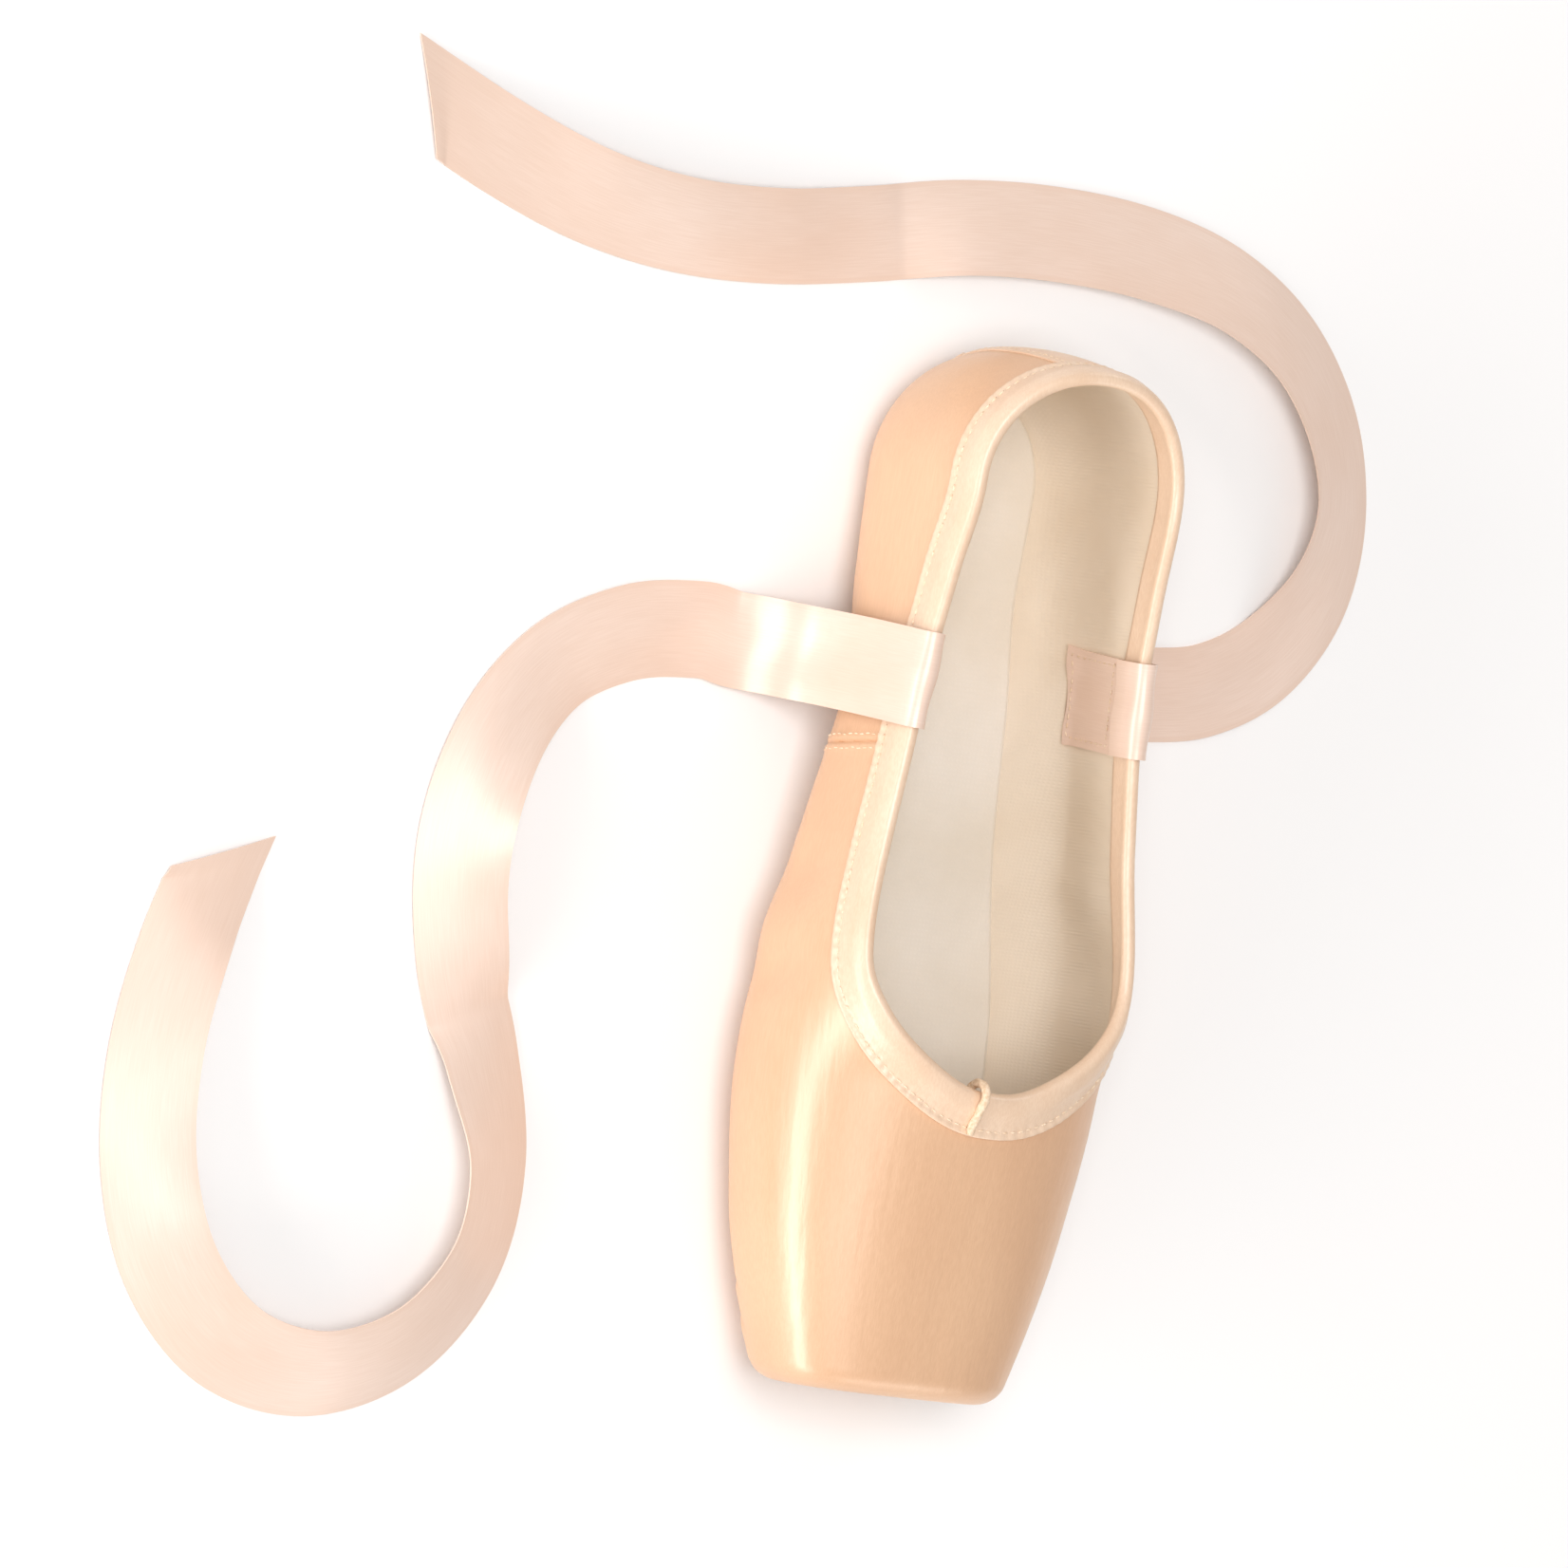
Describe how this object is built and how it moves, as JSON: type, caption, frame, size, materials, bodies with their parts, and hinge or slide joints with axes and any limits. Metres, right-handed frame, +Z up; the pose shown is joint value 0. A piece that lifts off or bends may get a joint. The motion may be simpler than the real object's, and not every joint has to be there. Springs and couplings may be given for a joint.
{
  "type": "pointe shoe",
  "caption": "Satin toe dancing shoe with a stiff flat-ended box, low collar, leather sole patches and loose tie ribbons, standing empty on its sole.",
  "frame": {"origin": "on the floor under the middle of the shoe's box, ribbons left out", "axes": "+Z up, +Y from toe to heel, +X across; the shoe is the same either side of the YZ plane but for its drawstring end and the lie of its ribbons"},
  "size_m": [0.326, 0.3072, 0.0582],
  "materials": {
    "satin": "peach satin, glossy",
    "leather": "tan sole leather, pressed with plain grooves",
    "sock_lining": "cream cotton drill over board",
    "satin_tape": "pale peach tape, soft sheen",
    "cord": "flat cotton cord",
    "satin_ribbon": "pale pink satin ribbon, glossy"
  },
  "bodies": {
    "root": {"upper": "satin", "outsole_forefoot": "leather", "outsole_heel": "leather", "insole": "sock_lining", "binding": "satin_tape", "back_strip": "satin_tape", "drawstring": "cord", "ribbon_end_left": "satin_ribbon", "ribbon_end_right": "satin_ribbon", "ribbon_left": "satin_ribbon", "ribbon_right": "satin_ribbon"}
  },
  "joints": []
}
